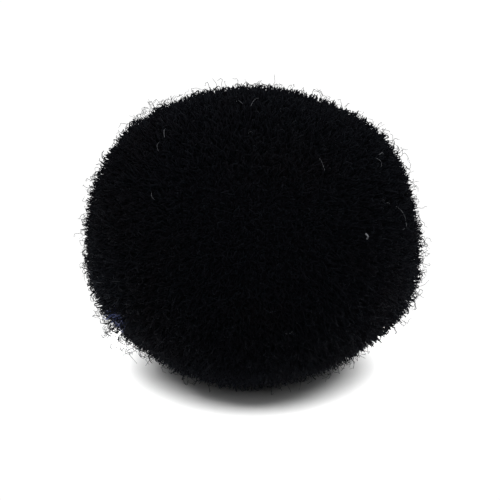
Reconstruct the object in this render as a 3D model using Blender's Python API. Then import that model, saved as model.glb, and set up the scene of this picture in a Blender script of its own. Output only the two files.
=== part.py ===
"""Yarn pom pom: a trimmed ball of cut yarn that rests on its flat spot.

Everything is in metres, +Z up, with the origin on the floor under the middle of the ball.
The yarn is tied in the middle, so every lock of it grows from one small core and widens towards
its cut end. Thin angular gaps part the locks all the way down to the core, where they are fused.
The cut ends follow the trimmed outline, and the locks underneath are shorter, so that their ends
lie level on the floor.

Run it with: blender --background --python part.py
"""

import math
import random
from collections import namedtuple

import bmesh
import bpy
from mathutils import Vector, noise

MM = 0.001

# The trimmed ball, over the cut ends of the yarn and before its swells.
WIDTH = 38.8 * MM
DEPTH = 38.0 * MM
CUT_HEIGHT = 35.4 * MM  # before the weight of the ball presses its flat spot
FLAT_SPOT_RADIUS = 6.0 * MM
CORE_RADIUS = 5.0 * MM  # where the tie holds the yarn, and the locks are fused

# The locks.
CELL_POINTS = 268  # corners of the cells on the core, which make just under 300 locks
POINT_SCATTER = 0.22  # how far a corner strays, as a share of the corners' spacing
CELL_SKEW = math.radians(60)  # how far from square a four-sided cell may be
LOCK_SPACING = 0.42 * MM  # clear space between two locks at the outside
LENGTH_SPREAD = 0.012  # the longest and shortest cut differ by this share either way
LEAN = 0.055  # how far the locks lean sideways at their ends, in radians
LEAN_SCALE = 1.5  # how quickly the lean changes from place to place
SEED = 7

Swell = namedtuple("Swell", "azimuth_deg elevation_deg height spread_deg")
# Where the trimming left the ball fuller. Azimuth 0 is +X and 90 is +Y.
SWELLS = (
    Swell(0, 35, 0.85 * MM, 24),
    Swell(0, -20, 1.05 * MM, 22),
    Swell(100, 20, 0.80 * MM, 28),
    Swell(180, 38, 1.20 * MM, 24),
    Swell(180, -18, 0.95 * MM, 24),
    Swell(280, 5, 0.50 * MM, 30),
)

Section = namedtuple("Section", "along width")
# One row for each ring of a lock: how far out from the core, and how wide against its cell.
SECTIONS = (
    Section(0.68, 1.00),
    Section(0.95, 0.95),
    Section(1.00, 0.68),
)

YARN_COLOUR = (0.006, 0.006, 0.008, 1.0)


def clear_scene():
    """Removes whatever the file holds."""
    for obj in list(bpy.data.objects):
        bpy.data.objects.remove(obj)


def yarn_material():
    """Matt black acrylic yarn."""
    material = bpy.data.materials.new("black_yarn")
    material.use_nodes = True
    shader = material.node_tree.nodes["Principled BSDF"]
    shader.inputs["Base Color"].default_value = YARN_COLOUR
    shader.inputs["Roughness"].default_value = 0.95
    shader.inputs["Metallic"].default_value = 0.0
    return material


def direction(azimuth_deg, elevation_deg):
    """The unit vector that points this way."""
    azimuth = math.radians(azimuth_deg)
    elevation = math.radians(elevation_deg)
    level = math.cos(elevation)
    return Vector((level * math.cos(azimuth), level * math.sin(azimuth), math.sin(elevation)))


def round_radius(way):
    """Distance from the tie to the plain ellipsoid, before its swells and its flat spot."""
    halves = (WIDTH / 2, DEPTH / 2, CUT_HEIGHT / 2)
    return sum((part / half) ** 2 for part, half in zip(way, halves)) ** -0.5


def trimmed_radius(way):
    """Distance from the tie to the cut ends in this direction, swells included."""
    radius = round_radius(way)
    for swell in SWELLS:
        angle = math.degrees(way.angle(direction(swell.azimuth_deg, swell.elevation_deg)))
        radius += swell.height * math.exp(-((angle / swell.spread_deg) ** 2))
    return radius


def tie_height():
    """Height of the tie over the floor, from the radius of the flat spot."""
    return CUT_HEIGHT / 2 * math.sqrt(1 - (2 * FLAT_SPOT_RADIUS / WIDTH) ** 2)


def end_radius(way, cut):
    """Distance from the tie to a lock's end: the trimmed outline times its cut, or the floor."""
    radius = trimmed_radius(way)
    if way.z >= 0:
        return radius * cut
    to_floor = tie_height() / -way.z
    return to_floor if to_floor < radius else min(radius * cut, to_floor)


def lean(way, along):
    """The direction that a lock has turned to, this far along it."""
    drift = noise.noise_vector(way * LEAN_SCALE) * LEAN * along
    return (way + drift).normalized()


def scattered_directions(draw):
    """Evenly spread directions on a golden spiral, each moved a little at random."""
    golden_angle = math.pi * (3 - math.sqrt(5))
    stray = POINT_SCATTER * math.sqrt(4 * math.pi / CELL_POINTS)
    ways = []
    for i in range(CELL_POINTS):
        height = 1 - (2 * i + 1) / CELL_POINTS
        level = math.sqrt(1 - height * height)
        turn = golden_angle * i
        way = Vector((level * math.cos(turn), level * math.sin(turn), height))
        way += Vector([draw.uniform(-stray, stray) for _ in range(3)])
        ways.append(way.normalized())
    return ways


def core_cells(draw):
    """A closed ball of three- and four-sided cells, one for each lock, at the core's radius."""
    cells = bmesh.new()
    for way in scattered_directions(draw):
        cells.verts.new(way * CORE_RADIUS)
    bmesh.ops.convex_hull(cells, input=cells.verts)
    bmesh.ops.join_triangles(
        cells,
        faces=cells.faces,
        angle_face_threshold=math.pi,
        angle_shape_threshold=CELL_SKEW,
    )
    bmesh.ops.recalc_face_normals(cells, faces=cells.faces)
    return cells


def grow_locks(cells, draw):
    """Insets each cell to leave the gaps, and draws it outwards through the lock's sections."""
    roots = list(cells.faces)
    outer_radius = (WIDTH + DEPTH + CUT_HEIGHT) / 6
    core_gap = LOCK_SPACING * CORE_RADIUS / outer_radius
    bmesh.ops.inset_individual(
        cells, faces=roots, thickness=core_gap / 2, depth=0, use_even_offset=True
    )
    for root in roots:
        axis = root.calc_center_median().normalized()
        ways = [corner.vert.co.normalized() for corner in root.loops]
        cut = 1 + draw.uniform(-LENGTH_SPREAD, LENGTH_SPREAD)
        tip = root
        for section in SECTIONS:
            tip = bmesh.ops.extrude_discrete_faces(cells, faces=[tip])["faces"][0]
            for corner, way in zip(tip.loops, ways):
                narrowed = (axis + (way - axis) * section.width).normalized()
                turned = lean(narrowed, section.along)
                reach = end_radius(turned, cut) - CORE_RADIUS
                corner.vert.co = turned * (CORE_RADIUS + reach * section.along)


def stand_on_floor(cells):
    """Lifts the ball from its tie to the floor, and centres it over the origin."""
    for vert in cells.verts:
        vert.co.z += tie_height()
    for axis in (0, 1):
        values = [vert.co[axis] for vert in cells.verts]
        middle = (min(values) + max(values)) / 2
        for vert in cells.verts:
            vert.co[axis] -= middle


def build_pom_pom(collection):
    """The whole ball as one solid, because the tie holds all of its yarn in one bundle."""
    draw = random.Random(SEED)
    noise.seed_set(SEED)
    cells = core_cells(draw)
    grow_locks(cells, draw)
    stand_on_floor(cells)
    mesh = bpy.data.meshes.new("yarn_locks")
    cells.to_mesh(mesh)
    cells.free()
    mesh.materials.append(yarn_material())
    collection.objects.link(bpy.data.objects.new("yarn_locks", mesh))


def main():
    clear_scene()
    collection = bpy.data.collections.new("yarn_pom_pom")
    bpy.context.scene.collection.children.link(collection)
    build_pom_pom(collection)


main()
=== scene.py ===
"""Black yarn pom pom: its packed yarn, cut ends, loose fuzz and caught lint, on a studio stage.

The file is laid out as an add-on and run as a script. It dresses the ball's solid, whose locks end at
the trimmed outline: furrowed packed yarn fills that outline to a little under it, the cut ends of the
yarn stand on that up to the outline, and loose crimped fibres reach out past them.
Sizes are in metres, +Z is up, and the ball rests on the floor at z = 0.
"""

import math
from collections import namedtuple

import bmesh
import bpy
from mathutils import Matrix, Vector
from mathutils.bvhtree import BVHTree


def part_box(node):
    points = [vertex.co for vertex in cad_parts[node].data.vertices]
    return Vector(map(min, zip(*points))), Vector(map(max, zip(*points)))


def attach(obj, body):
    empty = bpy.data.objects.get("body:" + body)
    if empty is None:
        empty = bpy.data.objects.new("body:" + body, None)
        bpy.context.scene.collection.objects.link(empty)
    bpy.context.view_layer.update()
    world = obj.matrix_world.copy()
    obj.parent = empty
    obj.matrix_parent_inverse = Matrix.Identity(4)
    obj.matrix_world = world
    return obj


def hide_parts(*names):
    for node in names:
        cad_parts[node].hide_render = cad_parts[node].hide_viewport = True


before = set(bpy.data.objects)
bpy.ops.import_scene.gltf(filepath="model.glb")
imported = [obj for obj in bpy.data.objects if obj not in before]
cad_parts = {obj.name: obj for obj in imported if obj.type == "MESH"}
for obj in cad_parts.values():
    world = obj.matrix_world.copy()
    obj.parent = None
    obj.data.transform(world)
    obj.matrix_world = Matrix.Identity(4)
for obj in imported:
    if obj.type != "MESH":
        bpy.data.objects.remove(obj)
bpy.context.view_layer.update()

bl_info = {
    "name": "Yarn Pom Pom",
    "version": (1, 0, 0),
    "blender": (4, 5, 0),
    "location": "3D View > Sidebar > Pom Pom",
    "description": "Builds a trimmed ball of black cut yarn with its fuzz",
    "category": "Object",
}

MM = 0.001
BODY = "root"
NODE = "yarn_locks"
LOW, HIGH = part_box(NODE)
TIE = (LOW + HIGH) / 2  # the yarn is tied in the middle of the ball
UP = Vector((0, 0, 1))


# ---------------------------------------------------------------- helpers


def linear(hex_colour):
    """A colour given as sRGB hex, such as #0a0b0d, as linear red, green and blue."""
    channels = [int(hex_colour[i : i + 2], 16) / 255 for i in (1, 3, 5)]
    return tuple(c / 12.92 if c <= 0.04045 else ((c + 0.055) / 1.055) ** 2.4 for c in channels)


def socket_of(sockets, key):
    """The socket in use with this name, or the one at this place in the list."""
    if isinstance(key, int):
        return sockets[key]
    return next(s for s in sockets if s.name == key and s.enabled)


def add(tree, kind, settings=None, inputs=None):
    """Adds a node with its settings, and gives each input a value or a link from a node's output."""
    node = tree.nodes.new(kind)
    for name, value in (settings or {}).items():
        setattr(node, name, value)
    for key, value in (inputs or {}).items():
        target = socket_of(node.inputs, key)
        if isinstance(value, bpy.types.Node):
            value = next(s for s in value.outputs if s.enabled)
        if isinstance(value, bpy.types.NodeSocket):
            tree.links.new(value, target)
        else:
            target.default_value = value
    return node


def direction(azimuth, elevation):
    """The unit vector this way from the tie, from degrees round the upright axis and above level."""
    turn, tilt = math.radians(azimuth), math.radians(elevation)
    return Vector(
        (math.cos(tilt) * math.cos(turn), math.cos(tilt) * math.sin(turn), math.sin(tilt))
    )


def link_object(name, data):
    """A new object that holds this data, in the scene."""
    obj = bpy.data.objects.new(name, data)
    bpy.context.scene.collection.objects.link(obj)
    return obj


def finish_piece(name, mesh):
    """Makes a finished piece of the mesh: it stands for the ball's solid and moves with it."""
    if not len(mesh.polygons):
        raise RuntimeError(f"{name} came out empty")
    piece = link_object(name, mesh)
    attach(piece, BODY)
    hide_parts(NODE)


# ---------------------------------------------------------------- settings


# Each of these makes a property of one sort. Lengths are in metres, and angles in degrees.
def length(name, description, default):
    return bpy.props.FloatProperty(
        name=name, description=description, default=default, unit="LENGTH", precision=5, min=0
    )


def angle(name, description, degrees):
    return bpy.props.FloatProperty(
        name=name, description=description, default=math.radians(degrees), subtype="ANGLE"
    )


def number(name, description, default):
    return bpy.props.FloatProperty(name=name, description=description, default=default)


def count(name, description, default):
    return bpy.props.IntProperty(name=name, description=description, default=default, min=1)


def colour(name, description, default):
    return bpy.props.FloatVectorProperty(
        name=name, description=description, default=linear(default), subtype="COLOR", size=3
    )


class BallSettings(bpy.types.PropertyGroup):
    """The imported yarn"""

    pile_depth: length("Pile Depth", "How deep the packed yarn lies under the cut ends", 1.3 * MM)
    yarn_pitch: length("Yarn Pitch", "Distance from one cut yarn to the next", 0.65 * MM)
    furrow: length("Furrow", "Depth of the furrows between the packed yarns", 0.25 * MM)
    level: count("Level", "Times the ball's faces are divided for the furrows", 2)


class EndSettings(bpy.types.PropertyGroup):
    """The cut ends of the yarn"""

    per_mm2: number("Fibres per mm²", "How densely the fibres stand", 9.2)
    patchiness: number("Patchiness", "How unevenly they stand, from 0 to 1", 0.0)
    rise: length("Rise", "How far up the pile a fibre starts", 0.0)
    root_width: length("Root Width", "Width of a fibre at its root", 0.18 * MM)
    tip_width: length("Tip Width", "Width of a fibre at its tip", 0.10 * MM)
    reach: length("Length", "Length of a fibre", 1.60 * MM)
    segments: count("Segments", "Steps along a fibre", 2)
    yarn_spread: number("Yarn Spread", "Share by which one yarn is cut longer than another", 0.42)
    own_spread: number("Own Spread", "Share by which one fibre is cut longer than another", 0.18)
    turn: angle("Turn", "How far the most bent fibre turns along its length", 50)
    crimp: length("Crimp", "How far the crimp moves a fibre's tip", 0.14 * MM)
    crimp_pitch: length("Crimp Pitch", "Distance over which the crimp turns", 0.7 * MM)
    lean: angle("Lean", "How far a fibre leans at random", 11)
    pull: number("Pull", "How far the fibres of one yarn draw together at their tips", 0.6)
    seed: count("Seed", "Draws the fibres' places", 3)


class CurlSettings(bpy.types.PropertyGroup):
    """The short fibres that curl at the cut ends"""

    per_mm2: number("Fibres per mm²", "How densely the fibres stand", 1.15)
    patchiness: number("Patchiness", "How unevenly they stand, from 0 to 1", 0.35)
    rise: length("Rise", "How far up the pile a fibre starts", 1.06 * MM)
    root_width: length("Root Width", "Width of a fibre at its root", 0.12 * MM)
    tip_width: length("Tip Width", "Width of a fibre at its tip", 0.07 * MM)
    reach: length("Length", "Length of a fibre", 1.0 * MM)
    segments: count("Segments", "Steps along a fibre", 6)
    yarn_spread: number("Yarn Spread", "Share by which one yarn is cut longer than another", 0.3)
    own_spread: number("Own Spread", "Share by which one fibre is cut longer than another", 0.6)
    turn: angle("Turn", "How far the most bent fibre turns along its length", 300)
    crimp: length("Crimp", "How far the crimp moves a fibre's tip", 0.16 * MM)
    crimp_pitch: length("Crimp Pitch", "Distance over which the crimp turns", 0.35 * MM)
    lean: angle("Lean", "How far a fibre leans at random", 35)
    pull: number("Pull", "How far the fibres of one yarn draw together at their tips", 0.0)
    seed: count("Seed", "Draws the fibres' places", 11)


class WispSettings(bpy.types.PropertyGroup):
    """The single fine fibres that stand out farthest"""

    per_mm2: number("Fibres per mm²", "How densely the fibres stand", 1.05)
    patchiness: number("Patchiness", "How unevenly they stand, from 0 to 1", 0.9)
    rise: length("Rise", "How far up the pile a fibre starts", 1.20 * MM)
    root_width: length("Root Width", "Width of a fibre at its root", 0.055 * MM)
    tip_width: length("Tip Width", "Width of a fibre at its tip", 0.035 * MM)
    reach: length("Length", "Length of a fibre", 1.15 * MM)
    segments: count("Segments", "Steps along a fibre", 6)
    yarn_spread: number("Yarn Spread", "Share by which one yarn is cut longer than another", 0.0)
    own_spread: number("Own Spread", "Share by which one fibre is cut longer than another", 0.6)
    turn: angle("Turn", "How far the most bent fibre turns along its length", 210)
    crimp: length("Crimp", "How far the crimp moves a fibre's tip", 0.30 * MM)
    crimp_pitch: length("Crimp Pitch", "Distance over which the crimp turns", 0.35 * MM)
    lean: angle("Lean", "How far a fibre leans at random", 40)
    pull: number("Pull", "How far the fibres of one yarn draw together at their tips", 0.0)
    seed: count("Seed", "Draws the fibres' places", 29)


class ColourSettings(bpy.types.PropertyGroup):
    """The dyes, and the painted shade at the roots of the navy fibres"""

    deep: colour("Deep", "Black dye where it took well", "#08080c")
    tip: colour("Tip", "Black dye where it took less well", "#0c0c11")
    warm: colour("Warm", "Black dye where it leans to brown", "#0f0c0f")
    sheen: colour("Sheen", "The green-blue cast of the fine fibres seen edge on", "#a2c4dc")
    # painted shade: the navy dye darkened to stand for the shade at the roots, deep in the pile
    navy_shaded_root: colour("Navy Shaded Root", "Navy dye at the roots of a few caught fibres", "#0a1024")
    navy_tip: colour("Navy Tip", "Navy dye at their tips", "#3b4268")
    navy_worn: colour("Navy Worn", "The few of them that have lost their dye", "#8a8da6")
    lint: colour("Lint", "Undyed fibres lying on the yarn", "#8d8f94")


class StageSettings(bpy.types.PropertyGroup):
    """The floor, the light and the camera"""

    floor_radius: length("Floor Radius", "How far the pale floor reaches", 20 * MM)
    elevation: angle("Camera Elevation", "Height of the view", 22.5)
    lens: number("Lens", "Focal length in mm", 135.0)
    ball_share: number("Ball's Share", "Width of the ball against the picture's", 0.662)
    shift_x: number("Shift Across", "Places the ball across the picture", -0.004)
    shift_y: number("Shift Up", "Places the ball up the picture", -0.035)
    top_power: number("Top Power", "Watts of the soft box over the ball", 52.0)
    wash_power: number("Wash Power", "Watts of the soft box that lights the floor alone", 222.0)
    side_power: number("Side Power", "Watts of each soft box round the ball, kept off the floor", 5.0)
    bounce_power: number("Bounce Power", "Watts of each low one that acts as light off the floor", 0.008)
    fill: number("Fill", "Strength of the light from the white surroundings", 0.08)


class PomPomSettings(bpy.types.PropertyGroup):
    """Everything that a user would change"""

    ball: bpy.props.PointerProperty(type=BallSettings)
    ends: bpy.props.PointerProperty(type=EndSettings)
    curls: bpy.props.PointerProperty(type=CurlSettings)
    wisps: bpy.props.PointerProperty(type=WispSettings)
    colours: bpy.props.PointerProperty(type=ColourSettings)
    stage: bpy.props.PointerProperty(type=StageSettings)


# ---------------------------------------------------------------- materials


ACRYLIC_IOR = 1.49
GLOSS = 0.06  # cut and brushed fibres have almost none
SHEEN = 0.024
SHEEN_ROUGHNESS = 0.45
SMOOTHEST, ROUGHEST = 0.82, 1.0  # the roughness of matted fibres, from place to place
GRAIN = 0.14 * MM  # matted fibres lie this far apart, drawn coarser than the 0.02 mm real ones
GRAIN_BUMP = 0.15
MOTTLE = 3.0 * MM  # the dye takes a little unevenly from yarn to yarn
DYE_PATCH = 9.0 * MM  # and leans to brown in patches this far apart
BROWN_STARTS, BROWN_FULL = 0.5, 0.7  # the patch noise where it starts to, and where it fully does
WORN = 0.12  # about this share of the navy fibres has lost its dye
DUST = 0.8 * MM  # dust sticks to the lint in spots this far apart
DUSTY = 0.45  # and darkens it to this share of its colour


def new_material(name):
    """A node material with a matt shader: acrylic's IOR, almost no gloss and a faint soft sheen."""
    material = bpy.data.materials.new(name)
    material.use_nodes = True
    shader = material.node_tree.nodes["Principled BSDF"]
    shader.inputs["IOR"].default_value = ACRYLIC_IOR
    shader.inputs["Specular IOR Level"].default_value = GLOSS
    shader.inputs["Sheen Weight"].default_value = SHEEN
    shader.inputs["Sheen Roughness"].default_value = SHEEN_ROUGHNESS
    shader.inputs["Sheen Tint"].default_value = (*bpy.context.scene.pom_pom.colours.sheen, 1)
    return material, shader


def matted_surface(tree, place, shader):
    """Uneven roughness and the fine grain of matted fibres."""
    grain = add(
        tree, "ShaderNodeTexNoise", {}, {"Vector": place, "Scale": 1 / GRAIN, "Detail": 2.0}
    )
    rough = add(
        tree, "ShaderNodeMapRange", {},
        {"Value": grain, "To Min": SMOOTHEST, "To Max": ROUGHEST},
    )
    bump = add(
        tree, "ShaderNodeBump", {},
        {"Height": grain, "Strength": GRAIN_BUMP, "Distance": GRAIN / 4},
    )
    tree.links.new(rough.outputs[0], shader.inputs["Roughness"])
    tree.links.new(bump.outputs[0], shader.inputs["Normal"])


def black_yarn():
    """Black acrylic yarn, spun, cut and brushed open: it swallows light, and is cast blue edge on."""
    name = "black acrylic yarn"
    if name in bpy.data.materials:
        return bpy.data.materials[name]
    colours = bpy.context.scene.pom_pom.colours
    material, shader = new_material(name)
    tree = material.node_tree
    place = add(tree, "ShaderNodeTexCoord").outputs["Object"]
    patches = add(
        tree, "ShaderNodeTexNoise", {}, {"Vector": place, "Scale": 1 / DYE_PATCH, "Detail": 1.0}
    )
    warmth = add(
        tree, "ShaderNodeMapRange", {},
        {"Value": patches, "From Min": BROWN_STARTS, "From Max": BROWN_FULL},
    )
    hue = add(
        tree, "ShaderNodeMix", {"data_type": "RGBA"},
        {0: warmth, 6: (*colours.tip, 1), 7: (*colours.warm, 1)},
    )
    mottle = add(
        tree, "ShaderNodeTexNoise", {}, {"Vector": place, "Scale": 1 / MOTTLE, "Detail": 3.0}
    )
    dye = add(
        tree, "ShaderNodeMix", {"data_type": "RGBA"},
        {0: mottle, 6: (*colours.deep, 1), 7: hue.outputs[2]},
    )
    tree.links.new(dye.outputs[2], shader.inputs["Base Color"])
    matted_surface(tree, place, shader)
    return material


def navy_yarn():
    """A few navy acrylic fibres that the cutter caught in the pile, with painted shade that darkens them
    from their paler fine tips down to their roots.
    """
    colours = bpy.context.scene.pom_pom.colours
    material, shader = new_material("navy acrylic yarn")
    tree = material.node_tree
    place = add(tree, "ShaderNodeTexCoord").outputs["Object"]
    along = add(tree, "ShaderNodeAttribute", {"attribute_name": "along"}).outputs["Fac"]
    # Painted shade: the navy darkens from the tip down to the root, where the fibre stands deep in the
    # pile.
    dye = add(
        tree, "ShaderNodeMix", {"data_type": "RGBA"},
        {0: along, 6: (*colours.navy_shaded_root, 1), 7: (*colours.navy_tip, 1)},
    )
    own = add(tree, "ShaderNodeAttribute", {"attribute_name": "own_draw"}).outputs["Fac"]
    worn = add(
        tree, "ShaderNodeMapRange", {}, {"Value": own, "From Min": 1 - 2 * WORN, "From Max": 1.0}
    )
    dye = add(
        tree, "ShaderNodeMix", {"data_type": "RGBA"},
        {0: worn, 6: dye.outputs[2], 7: (*colours.navy_worn, 1)},
    )
    tree.links.new(dye.outputs[2], shader.inputs["Base Color"])
    matted_surface(tree, place, shader)
    return material


def undyed_lint():
    """Undyed acrylic lint: pale, matt single fibres, a little darker where dust sticks to them."""
    colours = bpy.context.scene.pom_pom.colours
    material, shader = new_material("undyed acrylic lint")
    tree = material.node_tree
    place = add(tree, "ShaderNodeTexCoord").outputs["Object"]
    dust = add(
        tree, "ShaderNodeTexNoise", {}, {"Vector": place, "Scale": 1 / DUST, "Detail": 1.0}
    )
    dusty = tuple(channel * DUSTY for channel in colours.lint)
    shade = add(
        tree, "ShaderNodeMix", {"data_type": "RGBA"},
        {0: dust, 6: (*dusty, 1), 7: (*colours.lint, 1)},
    )
    tree.links.new(shade.outputs[2], shader.inputs["Base Color"])
    matted_surface(tree, place, shader)
    return material


# ---------------------------------------------------------------- modifier trees


def new_tree(name, sockets):
    """An empty modifier tree with these named inputs and one geometry output."""
    tree = bpy.data.node_groups.new(name, "GeometryNodeTree")
    tree.interface.new_socket("Geometry", in_out="OUTPUT", socket_type="NodeSocketGeometry")
    tree.interface.new_socket("Geometry", in_out="INPUT", socket_type="NodeSocketGeometry")
    for label, kind in sockets:
        tree.interface.new_socket(label, in_out="INPUT", socket_type=kind)
    return tree


def end_tree(tree, given, geometry):
    """Ends a tree: what it made becomes real geometry in the given material."""
    real = add(tree, "GeometryNodeRealizeInstances", {}, {"Geometry": geometry})
    dyed = add(
        tree, "GeometryNodeSetMaterial", {}, {"Geometry": real, "Material": given["Material"]}
    )
    add(tree, "NodeGroupOutput", {}, {0: dyed})


def run_tree(name, ground, tree, values):
    """Runs a tree on a copy of the ground mesh and returns the plain mesh that it makes."""
    grower = link_object(name, ground.copy())
    modifier = grower.modifiers.new(tree.name, "NODES")
    modifier.node_group = tree
    for item in tree.interface.items_tree:
        if item.item_type == "SOCKET" and item.in_out == "INPUT" and item.name in values:
            modifier[item.identifier] = values[item.name]
    graph = bpy.context.evaluated_depsgraph_get()
    mesh = bpy.data.meshes.new_from_object(grower.evaluated_get(graph))
    spare = grower.data
    bpy.data.objects.remove(grower)
    bpy.data.meshes.remove(spare)
    mesh.name = name
    return mesh


def by_label(group):
    """A settings group's values, by the labels that the trees' inputs share with them."""
    return {
        prop.name: getattr(group, key)
        for key, prop in group.bl_rna.properties.items()
        if key not in ("rna_type", "name")
    }


BALL_SOCKETS = (
    ("Tie", "NodeSocketVector"),
    ("Floor", "NodeSocketFloat"),
    ("Yarn Pitch", "NodeSocketFloat"),
    ("Material", "NodeSocketMaterial"),
)


def away_from_tie(tree, given, place):
    """The unit vector that points out from the tie, at each place."""
    from_tie = add(
        tree, "ShaderNodeVectorMath", {"operation": "SUBTRACT"}, {0: place, 1: given["Tie"]}
    )
    return add(tree, "ShaderNodeVectorMath", {"operation": "NORMALIZE"}, {0: from_tie})


def yarn_cells(tree, given, place):
    """Parts the places into yarns: the distance to a yarn's middle, where that lies, and its draw."""
    fineness = add(
        tree, "ShaderNodeMath", {"operation": "DIVIDE"}, {0: 1.0, 1: given["Yarn Pitch"]}
    )
    return add(
        tree, "ShaderNodeTexVoronoi", {"feature": "F1"}, {"Vector": place, "Scale": fineness}
    ).outputs


PACKED_SOCKETS = (
    *BALL_SOCKETS,
    ("Furrow", "NodeSocketFloat"),
    ("Level", "NodeSocketInt"),
)
DOME = 2.5  # brings the squared distance to a yarn's middle to about 1 at its edge


def packed_tree():
    """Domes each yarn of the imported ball, with furrows between, and levels it on the floor."""
    tree = new_tree("packed yarn", PACKED_SOCKETS)
    given = add(tree, "NodeGroupInput").outputs
    place = add(tree, "GeometryNodeInputPosition")
    fine = add(
        tree, "GeometryNodeSubdivideMesh", {},
        {"Mesh": given["Geometry"], "Level": given["Level"]},
    )
    off_middle = yarn_cells(tree, given, place)["Distance"]
    dome = add(tree, "ShaderNodeMath", {"operation": "MULTIPLY"}, {0: off_middle, 1: off_middle})
    dome = add(tree, "ShaderNodeMath", {"operation": "MULTIPLY"}, {0: dome, 1: -DOME})
    depth = add(tree, "ShaderNodeMath", {"operation": "MULTIPLY"}, {0: dome, 1: given["Furrow"]})
    outward = away_from_tie(tree, given, place)
    sunk = add(
        tree, "ShaderNodeVectorMath", {"operation": "SCALE"}, {0: outward, "Scale": depth}
    )
    furrowed = add(
        tree, "GeometryNodeSetPosition", {}, {"Geometry": fine, "Offset": sunk}
    )
    parts = add(tree, "ShaderNodeSeparateXYZ", {}, {0: place}).outputs
    over = add(
        tree, "ShaderNodeMath", {"operation": "MAXIMUM"}, {0: parts["Z"], 1: given["Floor"]}
    )
    level = add(tree, "ShaderNodeCombineXYZ", {}, {0: parts["X"], 1: parts["Y"], 2: over})
    levelled = add(
        tree, "GeometryNodeSetPosition", {}, {"Geometry": furrowed, "Position": level}
    )
    smooth = add(tree, "GeometryNodeSetShadeSmooth", {}, {"Geometry": levelled})
    end_tree(tree, given, smooth)
    return tree


FIBRE_SOCKETS = (
    *BALL_SOCKETS,
    ("Fibres per mm²", "NodeSocketFloat"),
    ("Patchiness", "NodeSocketFloat"),
    ("Rise", "NodeSocketFloat"),
    ("Root Width", "NodeSocketFloat"),
    ("Tip Width", "NodeSocketFloat"),
    ("Length", "NodeSocketFloat"),
    ("Segments", "NodeSocketInt"),
    ("Yarn Spread", "NodeSocketFloat"),
    ("Own Spread", "NodeSocketFloat"),
    ("Turn", "NodeSocketFloat"),
    ("Crimp", "NodeSocketFloat"),
    ("Crimp Pitch", "NodeSocketFloat"),
    ("Lean", "NodeSocketFloat"),
    ("Pull", "NodeSocketFloat"),
    ("Seed", "NodeSocketInt"),
)
UNLIKE_FIBRES = 40  # how many bent fibres there are to pick from
LEAST_TURN = 0.4  # the straightest of them turns by this share of the most bent one's turn
NOISE_SPAN = 4.0  # noise keeps to about a quarter either side of its middle
PATCH_SIZE = 6.0 * MM  # fuzz is thick or thin over stretches of this size
THINNEST, THICKEST = 0.35, 0.65  # the patch noise where the fuzz is at its thinnest and thickest
FEW = 3.0  # a random share raised to this power is near 0 for most and near 1 for a few
FEW_MEAN = 1 / (FEW + 1)  # the mean of such shares
RISE_SPREAD = 0.6  # those few start farther out than the rest by this share of the rise
FLUFF_LOFT = 0.22  # and by this much more for each unit of fluffing
LEAST_DROP = 0.001  # a fibre that leans down by less than this never meets the floor
STRAY_SEED, SPIN_SEED, PICK_SEED = 5, 6, 7


def straight_fibres(tree, given, parts):
    """Three-sided fibres in one place, numbered, each point with its share of the way along."""
    numbers = add(
        tree, "GeometryNodeMeshLine", {"mode": "OFFSET"},
        {"Count": UNLIKE_FIBRES, "Offset": (0.0, 0.0, 0.0)},
    )
    numbers = add(
        tree, "GeometryNodeStoreNamedAttribute", {"data_type": "INT"},
        {"Geometry": numbers, "Name": "fibre", "Value": add(tree, "GeometryNodeInputIndex")},
    )
    bottom = add(
        tree, "ShaderNodeMath", {"operation": "MULTIPLY"}, {0: given["Root Width"], 1: 0.5}
    )
    top = add(
        tree, "ShaderNodeMath", {"operation": "MULTIPLY"}, {0: given["Tip Width"], 1: 0.5}
    )
    straight = add(
        tree, "GeometryNodeMeshCone", {"fill_type": "NGON"},
        {"Vertices": 3, "Side Segments": given["Segments"], "Fill Segments": 1,
         "Radius Top": top, "Radius Bottom": bottom, "Depth": given["Length"]},
    )
    share = add(
        tree, "ShaderNodeMath", {"operation": "DIVIDE"}, {0: parts["Z"], 1: given["Length"]}
    )
    straight = add(
        tree, "GeometryNodeStoreNamedAttribute", {"data_type": "FLOAT"},
        {"Geometry": straight, "Name": "along", "Value": share},
    )
    copies = add(
        tree, "GeometryNodeInstanceOnPoints", {}, {"Points": numbers, "Instance": straight}
    )
    return add(tree, "GeometryNodeRealizeInstances", {}, {"Geometry": copies})


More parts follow.
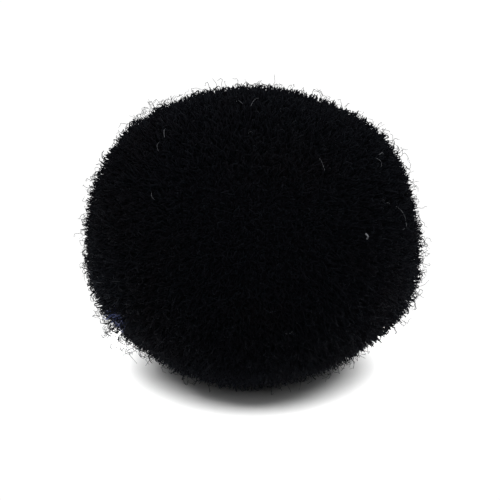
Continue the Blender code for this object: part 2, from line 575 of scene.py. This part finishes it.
def bent_fibres(tree, given):
    """The fibres to pick from: each an arc of its own turn with its own crimp, rooted at zero."""
    parts = add(
        tree, "ShaderNodeSeparateXYZ", {}, {0: add(tree, "GeometryNodeInputPosition")}
    ).outputs
    straight = straight_fibres(tree, given, parts)

    # Each is bent into an arc of its own.
    fibre = add(
        tree, "GeometryNodeInputNamedAttribute", {"data_type": "INT"}, {"Name": "fibre"}
    ).outputs[0]
    along = add(
        tree, "GeometryNodeInputNamedAttribute", {"data_type": "FLOAT"}, {"Name": "along"}
    ).outputs[0]
    bend = add(
        tree, "FunctionNodeRandomValue", {"data_type": "FLOAT"},
        {2: LEAST_TURN, 3: 1.0, "ID": fibre, "Seed": given["Seed"]},
    )
    turn = add(tree, "ShaderNodeMath", {"operation": "MULTIPLY"}, {0: bend, 1: given["Turn"]})
    radius = add(tree, "ShaderNodeMath", {"operation": "DIVIDE"}, {0: given["Length"], 1: turn})
    so_far = add(tree, "ShaderNodeMath", {"operation": "MULTIPLY"}, {0: turn, 1: along})
    section = add(tree, "ShaderNodeCombineXYZ", {}, {0: parts["X"], 1: parts["Y"]})
    centre = add(tree, "ShaderNodeCombineXYZ", {}, {0: radius})
    arched = add(
        tree, "ShaderNodeVectorRotate", {"rotation_type": "Y_AXIS"},
        {"Vector": section, "Center": centre, "Angle": so_far},
    )

    # The crimp moves it more and more towards its tip.
    fineness = add(
        tree, "ShaderNodeMath", {"operation": "DIVIDE"}, {0: 1.0, 1: given["Crimp Pitch"]}
    )
    spine = add(tree, "ShaderNodeCombineXYZ", {}, {2: parts["Z"]})
    ripple = add(
        tree, "ShaderNodeTexNoise", {"noise_dimensions": "4D"},
        {"Vector": spine, "W": fibre, "Scale": fineness, "Detail": 0.0},
    )
    ripple = add(
        tree, "ShaderNodeVectorMath", {"operation": "SUBTRACT"},
        {0: ripple.outputs["Color"], 1: (0.5, 0.5, 0.5)},
    )
    swing = add(tree, "ShaderNodeMath", {"operation": "MULTIPLY"}, {0: given["Crimp"], 1: along})
    swing = add(tree, "ShaderNodeMath", {"operation": "MULTIPLY"}, {0: swing, 1: NOISE_SPAN})
    crimp = add(
        tree, "ShaderNodeVectorMath", {"operation": "SCALE"}, {0: ripple, "Scale": swing}
    )
    bent = add(
        tree, "GeometryNodeSetPosition", {},
        {"Geometry": straight, "Position": arched, "Offset": crimp},
    )
    smooth = add(tree, "GeometryNodeSetShadeSmooth", {}, {"Geometry": bent})
    return add(
        tree, "GeometryNodeSplitToInstances", {"domain": "POINT"},
        {"Geometry": smooth, "Group ID": fibre},
    )


def fibre_roots(tree, given, place, outward, own):
    """Where the fibres start: thicker in some patches than in others, and a few farther out."""
    patches = add(
        tree, "ShaderNodeTexNoise", {}, {"Vector": place, "Scale": 1 / PATCH_SIZE, "Detail": 1.0}
    )
    uneven = add(
        tree, "ShaderNodeMapRange", {},
        {"Value": patches, "From Min": THINNEST, "From Max": THICKEST,
         "To Min": -1.0, "To Max": 1.0},
    )
    fluffed = add(
        tree, "GeometryNodeInputNamedAttribute", {"data_type": "FLOAT"}, {"Name": "fluffed"}
    ).outputs[0]
    uneven = add(tree, "ShaderNodeMath", {"operation": "ADD"}, {0: uneven, 1: fluffed})
    share = add(
        tree, "ShaderNodeMath", {"operation": "MULTIPLY_ADD"},
        {0: uneven, 1: given["Patchiness"], 2: 1.0},
    )
    density = add(
        tree, "ShaderNodeMath", {"operation": "MULTIPLY"}, {0: share, 1: given["Fibres per mm²"]}
    )
    density = add(tree, "ShaderNodeMath", {"operation": "MULTIPLY"}, {0: density, 1: 1 / MM**2})
    points = add(
        tree, "GeometryNodeDistributePointsOnFaces", {"distribute_method": "RANDOM"},
        {"Mesh": given["Geometry"], "Density": density, "Seed": given["Seed"]},
    )
    points = add(
        tree, "GeometryNodeStoreNamedAttribute", {"data_type": "FLOAT"},
        {"Geometry": points, "Name": "own_draw", "Value": own},
    )
    loft = add(
        tree, "ShaderNodeMath", {"operation": "MULTIPLY"}, {0: fluffed, 1: given["Patchiness"]}
    )
    loft = add(
        tree, "ShaderNodeMath", {"operation": "MULTIPLY_ADD"},
        {0: loft, 1: FLUFF_LOFT, 2: RISE_SPREAD},
    )
    few = add(tree, "ShaderNodeMath", {"operation": "POWER"}, {0: own, 1: FEW})
    loft = add(
        tree, "ShaderNodeMath", {"operation": "MULTIPLY_ADD"}, {0: few, 1: loft, 2: 1.0}
    )
    lift = add(tree, "ShaderNodeMath", {"operation": "MULTIPLY"}, {0: loft, 1: given["Rise"]})
    lift = add(
        tree, "ShaderNodeVectorMath", {"operation": "SCALE"}, {0: outward, "Scale": lift}
    )
    return add(tree, "GeometryNodeSetPosition", {}, {"Geometry": points, "Offset": lift})


def fibre_way(tree, given, place, outward, yarn):
    """Which way a fibre points: out from the tie, towards the middle of its yarn, and astray."""
    to_middle = add(
        tree, "ShaderNodeVectorMath", {"operation": "SUBTRACT"}, {0: yarn["Position"], 1: place}
    )
    rise = add(
        tree, "ShaderNodeVectorMath", {"operation": "PROJECT"}, {0: to_middle, 1: outward}
    )
    sideways = add(
        tree, "ShaderNodeVectorMath", {"operation": "SUBTRACT"}, {0: to_middle, 1: rise}
    )
    pulled = add(
        tree, "ShaderNodeVectorMath", {"operation": "SCALE"},
        {0: sideways, "Scale": given["Pull"]},
    )
    stray = add(
        tree, "FunctionNodeRandomValue", {"data_type": "FLOAT_VECTOR"},
        {0: (-1.0, -1.0, -1.0), 1: (1.0, 1.0, 1.0), "Seed": STRAY_SEED},
    )
    tangent = add(tree, "ShaderNodeMath", {"operation": "TANGENT"}, {0: given["Lean"]})
    leaning = add(
        tree, "ShaderNodeVectorMath", {"operation": "SCALE"}, {0: stray, "Scale": tangent}
    )
    upright = add(tree, "ShaderNodeVectorMath", {"operation": "ADD"}, {0: outward, 1: leaning})
    upright = add(
        tree, "ShaderNodeVectorMath", {"operation": "SCALE"},
        {0: upright, "Scale": given["Length"]},
    )
    way = add(tree, "ShaderNodeVectorMath", {"operation": "ADD"}, {0: upright, 1: pulled})
    return add(tree, "ShaderNodeVectorMath", {"operation": "NORMALIZE"}, {0: way})


def fibre_facing(tree, way):
    """Turns a fibre to point this way, bent towards any side of it."""
    facing = add(tree, "FunctionNodeAlignRotationToVector", {"axis": "Z"}, {"Vector": way})
    spin = add(
        tree, "FunctionNodeRandomValue", {"data_type": "FLOAT"}, {3: math.tau, "Seed": SPIN_SEED}
    )
    twist = add(
        tree, "FunctionNodeAxisAngleToRotation", {}, {"Axis": (0.0, 0.0, 1.0), "Angle": spin}
    )
    return add(
        tree, "FunctionNodeRotateRotation", {"rotation_space": "LOCAL"},
        {"Rotation": facing, "Rotate By": twist},
    )


def fibre_size(tree, given, place, yarn, own, way):
    """How long a fibre is cut: few yarns stand out far, and none reaches through the floor."""
    tall = add(tree, "ShaderNodeSeparateXYZ", {}, {0: yarn["Color"]}).outputs["X"]
    tall = add(tree, "ShaderNodeMath", {"operation": "POWER"}, {0: tall, 1: FEW})
    tall = add(tree, "ShaderNodeMath", {"operation": "SUBTRACT"}, {0: tall, 1: FEW_MEAN})
    tall = add(
        tree, "ShaderNodeMath", {"operation": "MULTIPLY"}, {0: tall, 1: given["Yarn Spread"]}
    )
    cut = add(tree, "ShaderNodeMath", {"operation": "SUBTRACT"}, {0: own, 1: 0.5})
    cut = add(
        tree, "ShaderNodeMath", {"operation": "MULTIPLY_ADD"},
        {0: cut, 1: given["Own Spread"], 2: tall},
    )
    cut = add(tree, "ShaderNodeMath", {"operation": "ADD"}, {0: cut, 1: 1.0})
    drop = add(tree, "ShaderNodeSeparateXYZ", {}, {0: way}).outputs["Z"]
    drop = add(tree, "ShaderNodeMath", {"operation": "MULTIPLY"}, {0: drop, 1: -1.0})
    drop = add(tree, "ShaderNodeMath", {"operation": "MAXIMUM"}, {0: drop, 1: LEAST_DROP})
    drop = add(tree, "ShaderNodeMath", {"operation": "MULTIPLY"}, {0: drop, 1: given["Length"]})
    height = add(tree, "ShaderNodeSeparateXYZ", {}, {0: place}).outputs["Z"]
    height = add(
        tree, "ShaderNodeMath", {"operation": "SUBTRACT"}, {0: height, 1: given["Floor"]}
    )
    room = add(tree, "ShaderNodeMath", {"operation": "DIVIDE"}, {0: height, 1: drop})
    return add(tree, "ShaderNodeMath", {"operation": "MINIMUM"}, {0: cut, 1: room})


def fibre_tree():
    """Stands bent fibres on a surface: drawn together by yarn, leaning, cut, and clear of the floor."""
    if "standing fibres" in bpy.data.node_groups:
        return bpy.data.node_groups["standing fibres"]
    tree = new_tree("standing fibres", FIBRE_SOCKETS)
    given = add(tree, "NodeGroupInput").outputs
    place = add(tree, "GeometryNodeInputPosition")
    outward = away_from_tie(tree, given, place)
    yarn = yarn_cells(tree, given, place)
    own = add(tree, "FunctionNodeRandomValue", {"data_type": "FLOAT"}, {"Seed": given["Seed"]})
    way = fibre_way(tree, given, place, outward, yarn)
    pick = add(
        tree, "FunctionNodeRandomValue", {"data_type": "INT"},
        {4: 0, 5: UNLIKE_FIBRES - 1, "Seed": PICK_SEED},
    )
    standing = add(
        tree, "GeometryNodeInstanceOnPoints", {},
        {"Points": fibre_roots(tree, given, place, outward, own),
         "Instance": bent_fibres(tree, given), "Pick Instance": True, "Instance Index": pick,
         "Rotation": fibre_facing(tree, way),
         "Scale": fibre_size(tree, given, place, yarn, own, way)},
    )
    end_tree(tree, given, standing)
    return tree


# ---------------------------------------------------------------- the ball of packed yarn


COARSE_BALL = 5  # subdivisions of the ball that the outline is drawn on
SMOOTHINGS = 6  # round away the facets between the ends of the solid's locks

Swell = namedtuple("Swell", "azimuth elevation height spread")
# Where the loose yarn puffs out past the solid's locks: in degrees, with the height in mm.
SWELLS = (
    Swell(-10, -20, 1.05, 16),
    Swell(8, 38, 0.30, 20),
    Swell(-168, -24, 0.30, 20),
)
Fluff = namedtuple("Fluff", "azimuth elevation amount spread")
# Where handling has fluffed the yarn up: in degrees, with about how many times more loose fibres.
FLUFFED = (
    Fluff(-163, -34.5, 8.5, 9),
    Fluff(-5, -12, 1.3, 18),
    Fluff(154, 47, 3.0, 11),
    Fluff(177, 7, 1.6, 8),
    Fluff(14, 31, 4.5, 8),
    Fluff(80, -10, 1.6, 14),
)


def cut_outline():
    """The outline that the locks of the solid are cut to, as a closed surface to cast rays on."""
    hull = bmesh.new()
    hull.from_mesh(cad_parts[NODE].data)
    outer = bmesh.ops.convex_hull(hull, input=hull.verts)["geom"]
    faces = [item for item in outer if isinstance(item, bmesh.types.BMFace)]
    corners = [v.co.copy() for v in hull.verts]
    outline = BVHTree.FromPolygons(corners, [[v.index for v in face.verts] for face in faces])
    hull.free()
    return outline


def spread_over(way, spots):
    """What these spots add up to this way from the tie: each one's third value, fading by its fourth."""
    total = 0
    for azimuth, elevation, amount, spread in spots:
        astray = math.degrees(way.angle(direction(azimuth, elevation)))
        total += amount * math.exp(-((astray / spread) ** 2))
    return total


def cut_point(outline, way):
    """Where the cut ends of the yarn lie this way from the tie, swells included."""
    return outline.ray_cast(TIE, way)[0] + way * spread_over(way, SWELLS) * MM


def pile_ground():
    """The smooth closed surface that the fibres stand on, a pile's depth inside the cut outline."""
    if "pile_ground" in bpy.data.meshes:
        return bpy.data.meshes["pile_ground"]
    outline = cut_outline()
    depth = bpy.context.scene.pom_pom.ball.pile_depth
    ball = bmesh.new()
    bmesh.ops.create_icosphere(ball, subdivisions=COARSE_BALL, radius=1.0)
    for vert in ball.verts:
        way = vert.co.normalized()
        vert.co = cut_point(outline, way) - way * depth
    for _ in range(SMOOTHINGS):
        bmesh.ops.smooth_vert(
            ball, verts=ball.verts, factor=0.5, use_axis_x=True, use_axis_y=True, use_axis_z=True
        )
    mesh = bpy.data.meshes.new("pile_ground")
    ball.to_mesh(mesh)
    ball.free()
    mesh.shade_smooth()
    fluffed = mesh.attributes.new("fluffed", "FLOAT", "POINT")
    for vert, value in zip(mesh.vertices, fluffed.data):
        value.value = spread_over(vert.co - TIE, FLUFFED)
    return mesh


def patch_of(mesh, keep):
    """A copy of the mesh with only the faces whose way out from the tie is kept."""
    patch = bmesh.new()
    patch.from_mesh(mesh)
    spare = [face for face in patch.faces if not keep(face.calc_center_median() - TIE)]
    bmesh.ops.delete(patch, geom=spare, context="FACES")
    mesh = bpy.data.meshes.new("patch")
    patch.to_mesh(mesh)
    patch.free()
    return mesh


def ball_values():
    """What every tree is told of the ball."""
    sizes = bpy.context.scene.pom_pom.ball
    return {**by_label(sizes), "Tie": tuple(TIE), "Floor": LOW.z}


class POMPOM_OT_packed_yarn(bpy.types.Operator):
    """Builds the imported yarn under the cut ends, each yarn a low dome with furrows round it"""

    bl_idname = "pom_pom.packed_yarn"
    bl_label = "Packed Yarn"

    def execute(self, context):
        values = {**ball_values(), "Material": black_yarn()}
        finish_piece("packed_yarn", run_tree("packed_yarn", pile_ground(), packed_tree(), values))
        return {"FINISHED"}


# ---------------------------------------------------------------- cut ends and fuzz


QUARTERS = 4
FLECK_WAY = direction(-152.5, -22.8)  # at the lower left of the rim
FLECK_REACH = math.radians(3.6)
FLECK_ENDS = 8.0  # of its straighter fibres stand on each mm², among the black ones
FLECK_CURLS = 4.0  # and of its curled ones


def grow(name, ground, sizes, material, **changes):
    """Grows fibres of these sizes on the ground and hands them over as a piece."""
    values = {**ball_values(), **by_label(sizes), "Material": material, **changes}
    mesh = run_tree(name, ground, fibre_tree(), values)
    # The crimp may still push a tip a little below the floor.
    for vert in mesh.vertices:
        vert.co.z = max(vert.co.z, LOW.z)
    finish_piece(name, mesh)


def quarter_of(way):
    """Which quarter of the ball this way lies in, counted round its upright axis."""
    return int((math.atan2(way.y, way.x) / math.tau + 0.5) * QUARTERS) % QUARTERS


class POMPOM_OT_cut_ends(bpy.types.Operator):
    """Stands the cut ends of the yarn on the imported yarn, in four quarters"""

    bl_idname = "pom_pom.cut_ends"
    bl_label = "Cut Ends"

    def execute(self, context):
        sizes = context.scene.pom_pom.ends
        for i in range(QUARTERS):
            quarter = patch_of(pile_ground(), lambda way, i=i: quarter_of(way) == i)
            grow(f"cut_ends_{i + 1}", quarter, sizes, black_yarn())
        return {"FINISHED"}


class POMPOM_OT_loose_fuzz(bpy.types.Operator):
    """Adds the fibres that curl at the cut ends, and the fine ones that stand out farthest"""

    bl_idname = "pom_pom.loose_fuzz"
    bl_label = "Loose Fuzz"

    def execute(self, context):
        grow("curled_fibres", pile_ground(), context.scene.pom_pom.curls, black_yarn())
        grow("wisps", pile_ground(), context.scene.pom_pom.wisps, black_yarn())
        return {"FINISHED"}


class POMPOM_OT_navy_fleck(bpy.types.Operator):
    """Adds the few navy fibres that are caught among the black ones"""

    bl_idname = "pom_pom.navy_fleck"
    bl_label = "Navy Fleck"

    def execute(self, context):
        settings = context.scene.pom_pom
        patch = patch_of(pile_ground(), lambda way: way.angle(FLECK_WAY) < FLECK_REACH)
        navy = navy_yarn()
        grow("navy_ends", patch, settings.ends, navy, **{"Fibres per mm²": FLECK_ENDS})
        grow("navy_curls", patch, settings.curls, navy, **{"Fibres per mm²": FLECK_CURLS})
        return {"FINISHED"}


# ---------------------------------------------------------------- lint


LINT_STEP = 0.35 * MM
LEAST_STEPS = 4
LINT_RISE = 0.25 * MM  # how far the middle of a fibre lifts off the cut ends

Lint = namedtuple("Lint", "azimuth elevation heading length turn width")
# Where each starts, in degrees round the ball and above its middle; where it heads, in degrees from
# up towards the right; its length in mm; the degrees it turns by to the right; its width in mm.
LINT = (
    Lint(-158.6, 53.8, 119, 1.6, 20, 0.042),
    Lint(-151.4, 48.5, 135, 1.5, -20, 0.026),
    Lint(-135.6, 31.0, 132, 1.1, -10, 0.026),
    Lint(-146.0, 82.5, 85, 1.0, 10, 0.064),
    Lint(-92.5, 81.0, 15, 2.5, 75, 0.034),
    Lint(-51.5, 46.8, 195, 1.6, -35, 0.046),
    Lint(-14.5, 36.7, 95, 1.0, 90, 0.056),
    Lint(-17.7, 36.9, 180, 1.3, 45, 0.026),
    Lint(-22.2, 18.8, 145, 2.9, 30, 0.034),
    Lint(-18.3, 11.3, 240, 1.3, 30, 0.048),
    Lint(-44.8, 15.8, 176, 0.6, 8, 0.250),
    Lint(-29.5, 23.8, 158, 0.4, 0, 0.026),
    Lint(-27.7, 22.0, 145, 0.4, 0, 0.024),
    Lint(-78.6, -14.1, 85, 0.9, -5, 0.012),
    Lint(-42.0, 76.1, 208, 0.8, 10, 0.010),
    Lint(-9.6, 69.4, 256, 1.2, 10, 0.009),
    Lint(-67.2, 65.5, 54, 0.5, 0, 0.014),
    Lint(-93.3, 62.9, 60, 0.6, 0, 0.009),
    Lint(70, 35, 30, 3.0, 80, 0.030),
    Lint(120, 5, 100, 2.4, -70, 0.032),
    Lint(40, -10, 170, 2.2, 50, 0.028),
    Lint(160, 25, 60, 1.6, 30, 0.030),
    Lint(95, -25, 250, 1.2, 60, 0.034),
)


def lying_fibre(outline, lint):
    """Points along a fibre that lies on the cut ends, with its two ends tucked in between them."""
    way = direction(lint.azimuth, lint.elevation)
    steps = max(LEAST_STEPS, round(lint.length * MM / LINT_STEP))
    points = []
    for i in range(steps + 1):
        surface = cut_point(outline, way)
        radius = (surface - TIE).length
        lift = LINT_RISE * (math.sin(math.pi * i / steps) - 0.5)
        points.append(surface + way * lift)
        heading = math.radians(lint.heading + lint.turn * (i / steps) ** 2)
        right = UP.cross(way).normalized()
        forward = way.cross(right) * math.cos(heading) + right * math.sin(heading)
        way = (way + forward * (lint.length * MM / steps / radius)).normalized()
    return points


def lint_strands():
    """The fibres as splines of one curve. It is 1 mm thick, so each point's radius is a width in mm."""
    outline = cut_outline()
    strands = bpy.data.curves.new("caught_lint", "CURVE")
    strands.dimensions = "3D"
    strands.bevel_depth = MM / 2
    strands.bevel_resolution = 0
    strands.use_fill_caps = True
    for lint in LINT:
        points = lying_fibre(outline, lint)
        spline = strands.splines.new("POLY")
        spline.points.add(len(points) - 1)
        for knot, point in zip(spline.points, points):
            knot.co = (*point, 1)
            knot.radius = lint.width
    return strands


class POMPOM_OT_lint(bpy.types.Operator):
    """Lays the pale stray fibres on the ball"""

    bl_idname = "pom_pom.lint"
    bl_label = "Lint"

    def execute(self, context):
        holder = link_object("caught_lint", lint_strands())
        graph = context.evaluated_depsgraph_get()
        mesh = bpy.data.meshes.new_from_object(holder.evaluated_get(graph))
        bpy.data.objects.remove(holder)
        mesh.materials.clear()
        mesh.materials.append(undyed_lint())
        finish_piece("caught_lint", mesh)
        return {"FINISHED"}


# ---------------------------------------------------------------- stage


FLOOR_SIDES = 64
BOARD_WHITE = "#f0f0f0"
SEEN_WHITE = 1.05  # strength at which the surroundings print as plain white


def white_board():
    """Matt white board, lit so brightly that it prints as plain white."""
    material = bpy.data.materials.new("matt white board")
    material.use_nodes = True
    shader = material.node_tree.nodes["Principled BSDF"]
    shader.inputs["Base Color"].default_value = (*linear(BOARD_WHITE), 1)
    shader.inputs["Roughness"].default_value = 0.9
    shader.inputs["Specular IOR Level"].default_value = 0.0
    return material


def lay_floor(stage):
    """A small round floor. The white surroundings carry on from it on every side."""
    board = bmesh.new()
    bmesh.ops.create_circle(
        board, cap_ends=True, segments=FLOOR_SIDES, radius=stage.floor_radius
    )
    mesh = bpy.data.meshes.new("floor")
    board.to_mesh(mesh)
    board.free()
    mesh.materials.append(white_board())
    floor = link_object("floor", mesh)
    return floor


OVERHEAD = 1.5  # height of the soft boxes over the floor
TOP_SIZE = (6.0, 5.0)  # wide and deep
WASH_SIZE = (3.6, 2.2)
SIDES = (-90, 0, 90, 180)  # azimuths of the soft boxes round the ball
SIDE_ELEVATION = 20
SIDE_REACH = 1.0  # how far from the tie they stand
SIDE_SIZE = (1.2, 1.2)
BOUNCES = (0, 180)  # azimuths where the bright floor, outside the shadow, lights the ball from below
BOUNCE_REACH = 28 * MM  # how far from the middle of the floor
BOUNCE_SIZE = (30 * MM, 12 * MM)


def set_soft_box(name, place, size, power):
    """Sets up an oval soft box that faces the ball."""
    lamp = bpy.data.lights.new(name, "AREA")
    lamp.shape = "ELLIPSE"
    lamp.size, lamp.size_y = size
    lamp.energy = power
    box = link_object(name, lamp)
    box.location = place
    box.rotation_euler = (place - TIE).to_track_quat("Z", "Y").to_euler()
    return box


def set_soft_boxes(name, places, size, power):
    """Sets up soft boxes that are alike and numbered, one at each place."""
    return [set_soft_box(f"{name}_{i + 1}", place, size, power) for i, place in enumerate(places)]


def link_light(boxes, floor, state):
    """Lets these soft boxes light the floor alone, or everything but the floor."""
    receivers = bpy.data.collections.new(state.lower() + "_floor")
    receivers.objects.link(floor)
    receivers.collection_objects[0].light_linking.link_state = state
    for box in boxes:
        box.light_linking.receiver_collection = receivers


def light_the_ball(stage, floor):
    """One soft box lights everything from above, one the floor alone, and the rest the ball alone."""
    above = UP * OVERHEAD
    set_soft_box("top_box", above, TOP_SIZE, stage.top_power)
    wash = set_soft_box("floor_wash", above, WASH_SIZE, stage.wash_power)
    link_light([wash], floor, "INCLUDE")
    sides = [TIE + direction(azimuth, SIDE_ELEVATION) * SIDE_REACH for azimuth in SIDES]
    beside = set_soft_boxes("side_box", sides, SIDE_SIZE, stage.side_power)
    bounces = [direction(azimuth, 0) * BOUNCE_REACH for azimuth in BOUNCES]
    below = set_soft_boxes("floor_bounce", bounces, BOUNCE_SIZE, stage.bounce_power)
    for box in below:
        box.visible_camera = False
    link_light(beside + below, floor, "EXCLUDE")


def surround_with_white(stage):
    """A white surrounding that the camera sees bright and that fills the shadows a little."""
    world = bpy.data.worlds.new("white surroundings")
    world.use_nodes = True
    bpy.context.scene.world = world
    tree = world.node_tree
    tree.nodes.clear()
    white = (*linear("#ffffff"), 1)
    seen = add(tree, "ShaderNodeBackground", {}, {"Color": white, "Strength": SEEN_WHITE})
    fill = add(tree, "ShaderNodeBackground", {}, {"Color": white, "Strength": stage.fill})
    ray = add(tree, "ShaderNodeLightPath").outputs["Is Camera Ray"]
    both = add(tree, "ShaderNodeMixShader", {}, {0: ray, 1: fill, 2: seen})
    add(tree, "ShaderNodeOutputWorld", {}, {"Surface": both})


def place_camera(stage):
    """Stands the camera where the ball takes up its share of the picture's width."""
    camera = bpy.data.cameras.new("camera")
    camera.lens = stage.lens
    picture_width = (HIGH.x - LOW.x) / stage.ball_share
    distance = picture_width * stage.lens / camera.sensor_width
    camera.clip_start = distance / 10
    camera.clip_end = distance * 50
    camera.shift_x = stage.shift_x
    camera.shift_y = stage.shift_y
    camera_object = link_object("camera", camera)
    back = direction(-90, math.degrees(stage.elevation))
    camera_object.location = TIE + back * distance
    camera_object.rotation_euler = (math.pi / 2 - stage.elevation, 0, 0)
    bpy.context.scene.camera = camera_object


class POMPOM_OT_stage(bpy.types.Operator):
    """Sets up the pale floor, the soft boxes, the white surroundings and the camera"""

    bl_idname = "pom_pom.stage"
    bl_label = "Stage"

    def execute(self, context):
        stage = context.scene.pom_pom.stage
        floor = lay_floor(stage)
        light_the_ball(stage, floor)
        surround_with_white(stage)
        place_camera(stage)
        context.scene.view_settings.view_transform = "Standard"
        return {"FINISHED"}


# ---------------------------------------------------------------- add-on


class POMPOM_PT_panel(bpy.types.Panel):
    """Lists the steps that build the pom pom, and its settings"""

    bl_idname = "POMPOM_PT_panel"
    bl_label = "Yarn Pom Pom"
    bl_space_type = "VIEW_3D"
    bl_region_type = "UI"
    bl_category = "Pom Pom"

    def draw(self, context):
        for operator in OPERATORS:
            self.layout.operator(operator.bl_idname)
        settings = context.scene.pom_pom
        for group_name in PomPomSettings.__annotations__:
            group = getattr(settings, group_name)
            box = self.layout.box()
            for name in type(group).__annotations__:
                box.prop(group, name)


OPERATORS = (
    POMPOM_OT_stage,
    POMPOM_OT_packed_yarn,
    POMPOM_OT_cut_ends,
    POMPOM_OT_loose_fuzz,
    POMPOM_OT_navy_fleck,
    POMPOM_OT_lint,
)
CLASSES = (
    BallSettings,
    EndSettings,
    CurlSettings,
    WispSettings,
    ColourSettings,
    StageSettings,
    PomPomSettings,
    *OPERATORS,
    POMPOM_PT_panel,
)


def register():
    for cls in CLASSES:
        bpy.utils.register_class(cls)
    bpy.types.Scene.pom_pom = bpy.props.PointerProperty(type=PomPomSettings)


def unregister():
    del bpy.types.Scene.pom_pom
    for cls in reversed(CLASSES):
        bpy.utils.unregister_class(cls)


def main():
    register()
    bpy.ops.pom_pom.stage()
    bpy.ops.pom_pom.packed_yarn()
    bpy.ops.pom_pom.cut_ends()
    bpy.ops.pom_pom.loose_fuzz()
    bpy.ops.pom_pom.navy_fleck()
    bpy.ops.pom_pom.lint()


if __name__ == "__main__":
    main()
